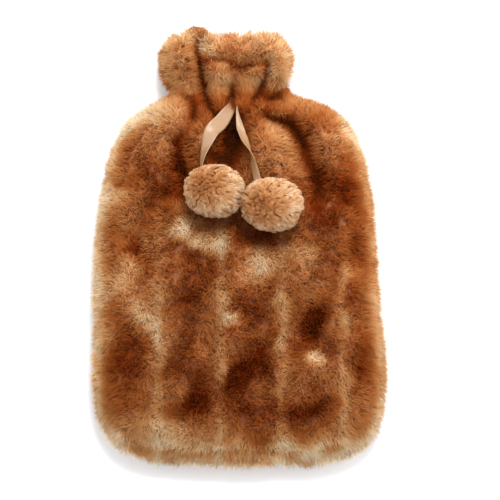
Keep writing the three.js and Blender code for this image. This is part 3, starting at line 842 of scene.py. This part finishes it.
def pile_lean(points, normals):
    """The way the pile leans at each place, along the surface."""
    outward = np.zeros_like(points)
    outward[:, :2] = (points[:, :2] - BODY_MIDDLE) / BODY_HALF
    lean = NAP + SPREAD_LEAN * outward
    above = np.tanh((points[:, 1] - TIE_ALONG) / PARTING_WIDTH)
    near = np.exp(-(((points[:, 1] - TIE_ALONG) / PARTING_REACH) ** 2))
    lean = lean - TIE_PARTING * (above * near)[:, None]
    for lumps, seed, amount in SWIRLS:
        lean = lean + amount * vector_noise(points, lumps * MM, seed)
    return lean - (lean * normals).sum(axis=1, keepdims=True) * normals


def by_shade(values, bright):
    """A value that changes with the shade, from its value in dark fur."""
    dark, more = values
    return dark + more * bright


def pile_on(name, points, triangles, normals, painted_light, count, side_weight):
    """One piece of pile: tufts scattered on the cloth, whose blades lean and curve together."""
    faces, weights = scatter(points, triangles, count // TUFT_SIZE, side_weight)
    centre, painted_light = blended(points, faces, weights), blended(painted_light, faces, weights)
    normal = unit(blended(normals, faces, weights))
    lean = pile_lean(centre, normal)
    tuft = RNG.uniform(-TUFT_SHADE, TUFT_SHADE, len(centre))
    centre, normal, lean, tuft, painted_light = (
        np.repeat(values, TUFT_SIZE, axis=0) for values in (centre, normal, lean, tuft, painted_light)
    )
    count = len(centre)
    spread = RNG.standard_normal((count, 3)) * TUFT_RADIUS
    spread -= (spread * normal).sum(axis=1, keepdims=True) * normal
    roots = centre + spread
    shade = pile_shade(roots, painted_light)
    bright = np.clip(shade, 0, 1)[:, None]
    gather = spread / PILE_LENGTH * by_shade(GATHER_BY_SHADE, bright)
    lean = lean * by_shade(LEAN_BY_SHADE, bright) - gather
    lean += by_shade(STRAY_BY_SHADE, bright) * RNG.standard_normal((count, 3))
    length = (PILE_LENGTH * RNG.uniform(*LENGTH_RANGE, count))[:, None]
    low = unit(normal + lean * LOW_LEAN)
    high = unit(normal * HIGH_RISE + lean * RNG.uniform(*HIGH_LEAN, (count, 1)))
    kink = RNG.standard_normal((count, 3)) * by_shade(KINK_BY_SHADE, bright) * MM
    middles = roots + low * length * 0.5 + kink
    tips = middles + high * length * 0.5
    width = BLADE_WIDTH * RNG.uniform(*WIDTH_RANGE, count)
    palest = bright[:, 0] ** 2
    varied = shade + tuft + RNG.uniform(-1, 1, count) * by_shade(SPECKLE_BY_SHADE, palest)
    contrast = by_shade(CONTRAST_BY_SHADE, palest)
    return blades_object(name, fur, roots, middles, tips, width, normal, ramp_place(varied), contrast)


# How many blades each piece of a panel's pile has, and how much denser they are on its steep sides.
# The front's blades are in three pieces, because no piece may have more than 200,000 triangles.
FRONT_BLADES = [66000, 66000, 66000]
BACK_BLADES = [42000]
FRONT_SIDE_WEIGHT = 0.3
BACK_SIDE_WEIGHT = 3.0


def panel(node, up, counts, side_weight):
    """One panel: its cloth, and its pile in one or more pieces. Up is 1 for the front, which faces
    up and has the creases, and -1 for the back."""
    points, triangles = refined(*outer_side(node, up))
    if up > 0:
        points[:, 2] -= crease_depth(points)
    normals = smooth_normals(points, triangles)
    points = points - normals * pile_inset(points)[:, None]
    # Painted light at the rim, and on the front painted shade in the hollows, for the cloth and the pile.
    painted_light = rim_painted_light(points, triangles)
    # On the front, painted shade darkens the hollows.
    if up > 0:
        painted_light -= HOLLOW_PAINTED_SHADE * cavity(points, triangles)
    shade = ramp_place(pile_shade(points, painted_light))
    cloth = mesh_object(node + "_cloth", points, triangles, backing, (("shade", shade),))
    thick = cloth.modifiers.new("thickness", "SOLIDIFY")
    thick.thickness = CLOTH_THICKNESS
    thick.offset = -1
    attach(cloth, "root")
    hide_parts(node)
    for i, count in enumerate(counts):
        pile = pile_on(f"{node}_pile_{i + 1}", points, triangles, normals, painted_light, count, side_weight)
        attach(pile, "root")
    return points, triangles


front_points, front_triangles = panel("front_panel", 1, FRONT_BLADES, FRONT_SIDE_WEIGHT)
back_points, back_triangles = panel("back_panel", -1, BACK_BLADES, BACK_SIDE_WEIGHT)

# ---------------------------------------------------------------------------------------------
# The pompoms: strands that start near a parting on a round core and sweep out to a trimmed ball
# ---------------------------------------------------------------------------------------------
# The parting is the direction that the strands sweep away from.
POMPOMS = [
    # side, parting x, y, z
    ("left", -0.30, 0.12, 0.95),
    ("right", -0.35, -0.10, 0.93),
]
POMPOM_STRANDS = 23000
POMPOM_LOCKS = 420
# The ball of strands is a little wider than its solid, and its points are moved by this share of
# the distance between them.
POMPOM_WIDER = np.array([1.05, 1.0, 1.0])
JITTER = 0.6
# Strands are matched to their locks in this many parts, which saves memory.
MATCH_PARTS = 12

# Shares of the pompom's radius: the core, and a strand's root and middle.
CORE_SHARE = 0.86
ROOT_SHARE = 0.7
MIDDLE_SHARE = 0.93
CORE_SHADE = 0.2
CORE_ROWS = 16
CORE_COLUMNS = 28

# Strands sweep away from the parting, and each is drawn to the middle of its lock.
STRAND_SWEEP = math.radians(64)
SWEEP_RANGE = (0.6, 1.15)
SWEEP_LIMIT = 0.5
MIDDLE_TURN = 0.45
LOCK_STRAY = 0.38
ROOT_PULL = 0.2
MIDDLE_PULL = 0.15
TIP_PULL = 0.4
TIP_PULL_RANGE = (0.2, 1)
STRAND_WIDTH = 0.62 * MM
STRAND_WIDTH_RANGE = (0.7, 1.2)
STRAND_KINK = 0.25 * MM

# How far the trimmed strands reach, as shares of the radius. The ball has lumps, given by their size,
# seed and amount, and its locks and strands vary too.
TRIM_REACH = 0.93
TRIM_LUMPS = (0.6, 81, 0.08)
NOISE_PLACE = 7.3
LOCK_REACH = (-0.06, 0.04)
STRAND_REACH = 0.06
GAP_REACH = 0.25
MOST_REACH = 1.06

# Shades vary from lock to lock and strand to strand. Painted light makes them paler with the sweep from
# the parting, so the parting has painted shade, and painted shade darkens the gaps between locks.
LOCK_SHADE = 0.17
STRAND_SHADE = 0.2
SWEEP_PAINTED_LIGHT = 0.5
SWEEP_PAINTED_LIGHT_RANGE = (0.2, 1.3)
STRAND_CONTRAST = 0.28


def sphere_points(count):
    """Even points on a ball of radius 1, each moved a little."""
    i = np.arange(count) + 0.5
    height = 1 - 2 * i / count
    golden_turn = np.pi * (1 + 5 ** 0.5)
    around = golden_turn * i
    ring = np.sqrt(1 - height * height)
    points = np.stack([ring * np.cos(around), ring * np.sin(around), height], axis=1)
    return unit(points + RNG.standard_normal((count, 3)) * JITTER / math.sqrt(count))


def pompom_core(name, centre, radii):
    """The wound middle of a pompom, which closes the gaps between its locks."""
    rows, columns = CORE_ROWS, CORE_COLUMNS
    downs = np.linspace(0, np.pi, rows + 1)
    turns = np.linspace(0, 2 * np.pi, columns, endpoint=False)
    down, around = np.meshgrid(downs, turns, indexing="ij")
    ways = np.stack([np.sin(down) * np.cos(around), np.sin(down) * np.sin(around), np.cos(down)], axis=2)
    ways = ways.reshape(-1, 3)
    row, column = np.meshgrid(np.arange(rows), np.arange(columns), indexing="ij")
    near = (row * columns + column).reshape(-1)
    beside = (row * columns + (column + 1) % columns).reshape(-1)
    upper = np.stack([near, near + columns, beside], axis=1)
    lower = np.stack([beside, near + columns, beside + columns], axis=1)
    along = np.zeros(len(ways))
    core = mesh_object(
        name,
        centre + ways * radii,
        np.concatenate([upper, lower]),
        yarn,
        (("along", along), ("shade", along + CORE_SHADE)),
    )
    face_outward(core, ways)
    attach(core, "root")


def pompom(side, parting):
    """One pompom: locks of strands over a wound core, in the box of its solid."""
    node = "pompom_" + side
    low, high = (np.array(corner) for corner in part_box(node))
    centre, radii = (low + high) / 2, (high - low) / 2 * POMPOM_WIDER
    parting = unit(np.array(parting, dtype=float))
    locks = sphere_points(POMPOM_LOCKS)
    lock_shade = RNG.uniform(-LOCK_SHADE, LOCK_SHADE, POMPOM_LOCKS)
    strands = sphere_points(POMPOM_STRANDS)
    count = len(strands)
    parts = np.array_split(strands, MATCH_PARTS)
    nearest = np.concatenate([np.argmax(part @ locks.T, axis=1) for part in parts])
    off = locks[nearest] - strands
    gap = np.linalg.norm(off, axis=1)
    tip_way = unit(strands + TIP_PULL * off * RNG.uniform(*TIP_PULL_RANGE, (count, 1)))
    sweep = np.arccos(np.clip(tip_way @ parting, -1, 1))
    back = np.minimum(STRAND_SWEEP * RNG.uniform(*SWEEP_RANGE, count), sweep * SWEEP_LIMIT)
    stray = LOCK_STRAY * RNG.standard_normal((POMPOM_LOCKS, 3))[nearest]
    axis = unit(np.cross(tip_way, parting + stray))
    root_way = unit(turned(tip_way, axis, back) + ROOT_PULL * off)
    middle_way = unit(turned(tip_way, axis, back * MIDDLE_TURN) + MIDDLE_PULL * off)
    lumps, seed, amount = TRIM_LUMPS
    trimmed = TRIM_REACH + amount * noise(strands + NOISE_PLACE, lumps, seed)
    lock_reach = RNG.uniform(*LOCK_REACH, POMPOM_LOCKS)[nearest]
    reach = trimmed + lock_reach + STRAND_REACH * RNG.random(count) - GAP_REACH * gap
    reach = np.minimum(reach, MOST_REACH)
    roots = centre + root_way * radii * ROOT_SHARE
    tips = centre + tip_way * radii * reach[:, None]
    middles = centre + middle_way * radii * MIDDLE_SHARE
    middles += RNG.standard_normal(middles.shape) * STRAND_KINK
    width = STRAND_WIDTH * RNG.uniform(*STRAND_WIDTH_RANGE, count)
    # Random tone by lock and strand, less painted shade by the strand's gap from its lock's middle.
    shade = lock_shade[nearest] + RNG.uniform(-STRAND_SHADE, STRAND_SHADE, count) - gap
    # Painted light: paler with the sweep from the parting.
    shade += SWEEP_PAINTED_LIGHT * smoothstep(sweep, *SWEEP_PAINTED_LIGHT_RANGE)
    contrast = np.full(count, STRAND_CONTRAST)
    made = blades_object(
        node + "_strands", yarn, roots, middles, tips, width, strands, shade, contrast
    )
    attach(made, "root")
    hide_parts(node)
    pompom_core(node + "_core", centre, radii * CORE_SHARE)


for side, *parting in POMPOMS:
    pompom(side, parting)

# ---------------------------------------------------------------------------------------------
# The ribbon: a band sunk in the pile round the neck, and two tails that turn as they run
# ---------------------------------------------------------------------------------------------
RIBBON_WIDTH = 12.5 * MM
RIBBON_THICKNESS = 0.45 * MM
RIBBON_COLUMNS = 8
MIDDLE_COLUMN = RIBBON_COLUMNS // 2
SHARES_ACROSS = np.linspace(-1, 1, RIBBON_COLUMNS + 1)

# The band is pleated narrow, lies this far off the cloth, and dips under it in the deepest crease.
TIE_WIDTH = 2.4 * MM
TIE_LIFT = 0.4 * MM
TIE_DEPTH = 0.3 * MM
TIE_DIP = 5 * MM
TIE_STOPS = 120
TIE_WAYS = 96
RING_DEPTH = 0.1 * MM
FOLD_X = -29 * MM
FOLD_WIDTH = 6 * MM

# The tails bow across their width and clear the front by this much. Their height is eased along
# them, over this many of their rows.
CUP = 0.5 * MM
TAIL_CLEARANCE = 1.0 * MM
STEPS_PER_STATION = 6
BRIDGED_ROWS = 9
EASED_ROWS = 5
PROBE_HEIGHT = 0.3

# Stations of the two tails, in millimetres: place, height over the pile, width as a share of the
# ribbon's, and the turn about its own line in degrees.
LEFT_TAIL = [
    # x, y, over, width, turn
    (-4.5, 130, -7, 0.3, 0),
    (-6.0, 120, -6.5, 0.5, -15),
    (-9.5, 111.5, -1.5, 0.85, -28),
    (-15.6, 101.5, 2, 1, -16),
    (-21.8, 94.1, 2.5, 1, 4),
    (-24.8, 87.1, 2.5, 1, 28),
    (-27.2, 80.2, 2, 1, 47),
    (-29.3, 73.3, 2, 0.95, 62),
    (-30.8, 66.3, 2.5, 0.85, 72),
    (-31.2, 60, 3, 0.75, 80),
    (-29.5, 54, 2, 0.7, 84),
]
RIGHT_TAIL = [
    # x, y, over, width, turn
    (-2.4, 130, -7, 0.1, 0),
    (-2.2, 120, -5, 0.1, 5),
    (-1.8, 111, 0, 0.16, 8),
    (0.2, 98.6, 1.5, 0.45, -6),
    (2.5, 90.6, 2, 0.6, -36),
    (4.9, 83.7, 2, 0.75, -52),
    (7.8, 76.7, 2, 0.8, -72),
    (10.5, 69.8, 2, 0.8, -92),
    (11.7, 62.8, 2, 0.65, -120),
    (14.4, 52, 3, 0.55, -150),
    (16.0, 44, 3, 0.5, -160),
]


def smooth_rows(rows, steps):
    """A smooth curve through the rows of a table, in every column."""
    rows = np.array(rows, dtype=float)
    padded = np.vstack([2 * rows[0] - rows[1], rows, 2 * rows[-1] - rows[-2]])
    out = []
    for i in range(len(rows) - 1):
        before, start, end, after = padded[i : i + 4]
        for t in np.arange(steps) / steps:
            slope = (end - before) * t
            bend = (2 * before - 5 * start + 4 * end - after) * t * t
            twist = (3 * start - before - 3 * end + after) * t ** 3
            out.append(0.5 * (2 * start + slope + bend + twist))
    out.append(rows[-1])
    return np.array(out)


front_probe = probe_of(*mesh_arrays(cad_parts["front_panel"].data))
cloth_probe = probe_of(
    np.concatenate([front_points, back_points]),
    np.concatenate([front_triangles, back_triangles + len(front_points)]),
)


def clearance(x, y, z):
    """How far a point of a tail has to rise to clear the front panel's solid, or the floor beside it."""
    hit = front_probe.ray_cast(Vector((x, y, PROBE_HEIGHT)), Vector((0, 0, -1)))[0]
    return (hit.z if hit else 0.0) + TAIL_CLEARANCE - z


def averaged(values, window):
    """The mean of each value and its neighbours, this many in all."""
    padded = np.pad(values, window // 2, mode="edge")
    return np.convolve(padded, np.ones(window) / window, mode="valid")


def lengthwise(points):
    """How far along the ribbon each point of its rows is."""
    along = distances_along(points[:, MIDDLE_COLUMN])
    return np.repeat(along[:, None], points.shape[1], axis=1)


def tail_strip(stations):
    """Points of a tail, row by row, with their places across and along the ribbon."""
    x, y, over, width, turn = smooth_rows(stations, STEPS_PER_STATION).T
    plan = np.column_stack([x, y, np.zeros(len(x))]) * MM
    ahead = unit(np.gradient(plan, axis=0))
    level = np.cross([0.0, 0.0, 1.0], ahead)
    side = turned(level, ahead, np.radians(turn))
    face = np.cross(ahead, side)
    across = (width * RIBBON_WIDTH / 2)[:, None] * SHARES_ACROSS
    points = plan[:, None] + side[:, None] * across[:, :, None]
    points = points + face[:, None] * (CUP * (SHARES_ACROSS ** 2 - 1))[None, :, None]
    clear = np.array([max(clearance(*place) for place in row[::2]) for row in points])
    height = clear + over * MM
    height = np.maximum(height, averaged(height, BRIDGED_ROWS))
    points[:, :, 2] += averaged(height, EASED_ROWS)[:, None]
    return points, across, lengthwise(points)


def tight_outline(ring):
    """The outline that is stretched round these points, as even stops, with its middle."""
    angles = np.linspace(0, 2 * np.pi, TIE_WAYS + 1)
    ways = np.stack([np.cos(angles), np.sin(angles)], axis=1)
    reach = (ring @ ways.T).max(axis=0)
    corners = [np.linalg.solve(ways[i : i + 2], reach[i : i + 2]) for i in range(TIE_WAYS)]
    outline = np.array(corners + corners[:1])
    run = distances_along(outline)
    stops = np.linspace(0, run[-1], TIE_STOPS, endpoint=False)
    around = np.stack([np.interp(stops, run, outline[:, axis]) for axis in range(2)], axis=1)
    return around, (ring.min(axis=0) + ring.max(axis=0)) / 2


def band_strip():
    """The band round the neck, pleated narrow: the solid's own band, moved in to lie on the cloth."""
    points, _ = mesh_arrays(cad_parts["ribbon_tie"].data)
    top_edge = points[:, 1].max() - RING_DEPTH
    around, centre = tight_outline(points[points[:, 1] > top_edge][:, [0, 2]])
    ahead = unit(np.roll(around, -1, axis=0) - np.roll(around, 1, axis=0))
    line = []
    for (x, z), (ahead_x, ahead_z) in zip(around, ahead):
        inward = Vector((-ahead_z, 0, ahead_x))
        hit = cloth_probe.ray_cast(Vector((x, TIE_ALONG, z)), inward)[0]
        if hit:
            fold = math.exp(-(((hit.x - FOLD_X) / FOLD_WIDTH) ** 2)) if hit.z > centre[1] else 0
            place = hit + inward * (TIE_DIP * fold - TIE_LIFT)
            line.append((place.x, place.z))
    line = np.array(line + line[:1])
    out = unit(line - centre)
    folded = line[:, None] + out[:, None] * (TIE_DEPTH * SHARES_ACROSS)[None, :, None]
    pleat = np.resize([-1, 0, 1, 0], RIBBON_COLUMNS + 1)
    y = TIE_ALONG + np.broadcast_to(pleat * TIE_WIDTH / 2, folded.shape[:2])
    points = np.stack([folded[:, :, 0], y, folded[:, :, 1]], axis=2)
    across = np.repeat((SHARES_ACROSS * RIBBON_WIDTH / 2)[None, :], len(line), axis=0)
    return points, across, lengthwise(points)


def ribbon():
    """The whole ribbon as one piece: its two tails and its band."""
    strips = [tail_strip(LEFT_TAIL), tail_strip(RIGHT_TAIL), band_strip()]
    points, across, along, triangles, start = [], [], [], [], 0
    for places, wide, far in strips:
        rows, columns = places.shape[:2]
        points.append(places.reshape(-1, 3))
        across.append(wide.reshape(-1))
        along.append(far.reshape(-1))
        corner = np.arange((rows - 1) * columns).reshape(rows - 1, columns)[:, :-1].reshape(-1) + start
        triangles.append(np.stack([corner, corner + columns, corner + columns + 1], axis=1))
        triangles.append(np.stack([corner, corner + columns + 1, corner + 1], axis=1))
        start += rows * columns
    made = mesh_object(
        "ribbon_satin_tie",
        np.concatenate(points),
        np.concatenate(triangles),
        satin,
        (("across", np.concatenate(across)), ("along", np.concatenate(along))),
    )
    thick = made.modifiers.new("thickness", "SOLIDIFY")
    thick.thickness = RIBBON_THICKNESS
    thick.offset = 0
    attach(made, "root")
    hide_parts("ribbon_tie")


ribbon()
